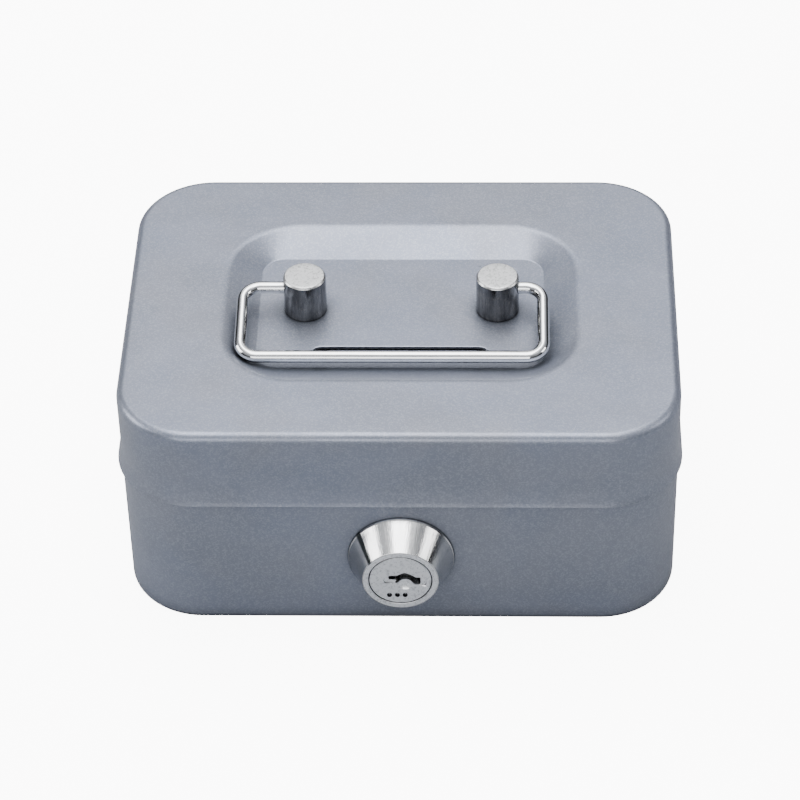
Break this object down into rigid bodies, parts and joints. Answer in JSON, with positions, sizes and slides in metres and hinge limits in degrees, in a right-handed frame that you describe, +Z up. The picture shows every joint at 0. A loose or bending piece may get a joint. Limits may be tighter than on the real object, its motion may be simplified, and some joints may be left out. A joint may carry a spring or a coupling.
{
  "type": "cash box",
  "caption": "Small painted steel cash box: hinged lid with pressed dish, coin slot and bail handle on two posts, cam lock with conical bezel that hooks a strike under the lid",
  "frame": {"origin": "centre of the base's flat underside, on the midline between the side walls and between the front and back walls", "axes": "+X to the right seen from the front, +Y from the lock towards the hinge, +Z up; the lock faces -Y"},
  "size_m": [0.1268, 0.1035, 0.0622],
  "materials": {
    "grey_paint": "silver-grey satin lacquer with a fine metallic fleck",
    "chrome_plate": "bright chrome plate, light wear",
    "satin_steel": "satin nickel-plated, turned",
    "zinc_steel": "clear zinc-plated steel",
    "brass_wafer": "stamped brass"
  },
  "bodies": {
    "base": {"base_shell": "grey_paint", "hinge_leaf_base": "grey_paint", "hinge_pin": "zinc_steel", "lock_housing": "chrome_plate", "lock_washer": "zinc_steel", "lock_nut": "zinc_steel"},
    "lid": {"lid_shell": "grey_paint", "hinge_leaf_lid": "grey_paint", "strike_plate": "zinc_steel", "post_left": "chrome_plate", "post_right": "chrome_plate", "post_screws": "zinc_steel", "post_washers": "zinc_steel"},
    "bail": {"handle_bail": "chrome_plate"},
    "plug": {"lock_plug": "satin_steel", "wafers": "brass_wafer", "stop_washer": "zinc_steel", "lock_cam": "zinc_steel", "cam_washer": "zinc_steel", "cam_screw": "zinc_steel"}
  },
  "joints": [
    {"name": "lid_hinge", "type": "hinge", "parent": "base", "child": "lid", "pos_m": [0, 0.04785, 0.0348], "axis": [-1, 0, 0], "range_deg": [0, 105]},
    {"name": "bail_swing", "type": "hinge", "parent": "lid", "child": "bail", "pos_m": [0, 0.00193, 0.05875], "axis": [-1, 0, 0], "range_deg": [0, 190]},
    {"name": "lock_turn", "type": "hinge", "parent": "base", "child": "plug", "pos_m": [0.00045, -0.046, 0.0203], "axis": [0, -1, 0], "range_deg": [0, 90]}
  ]
}
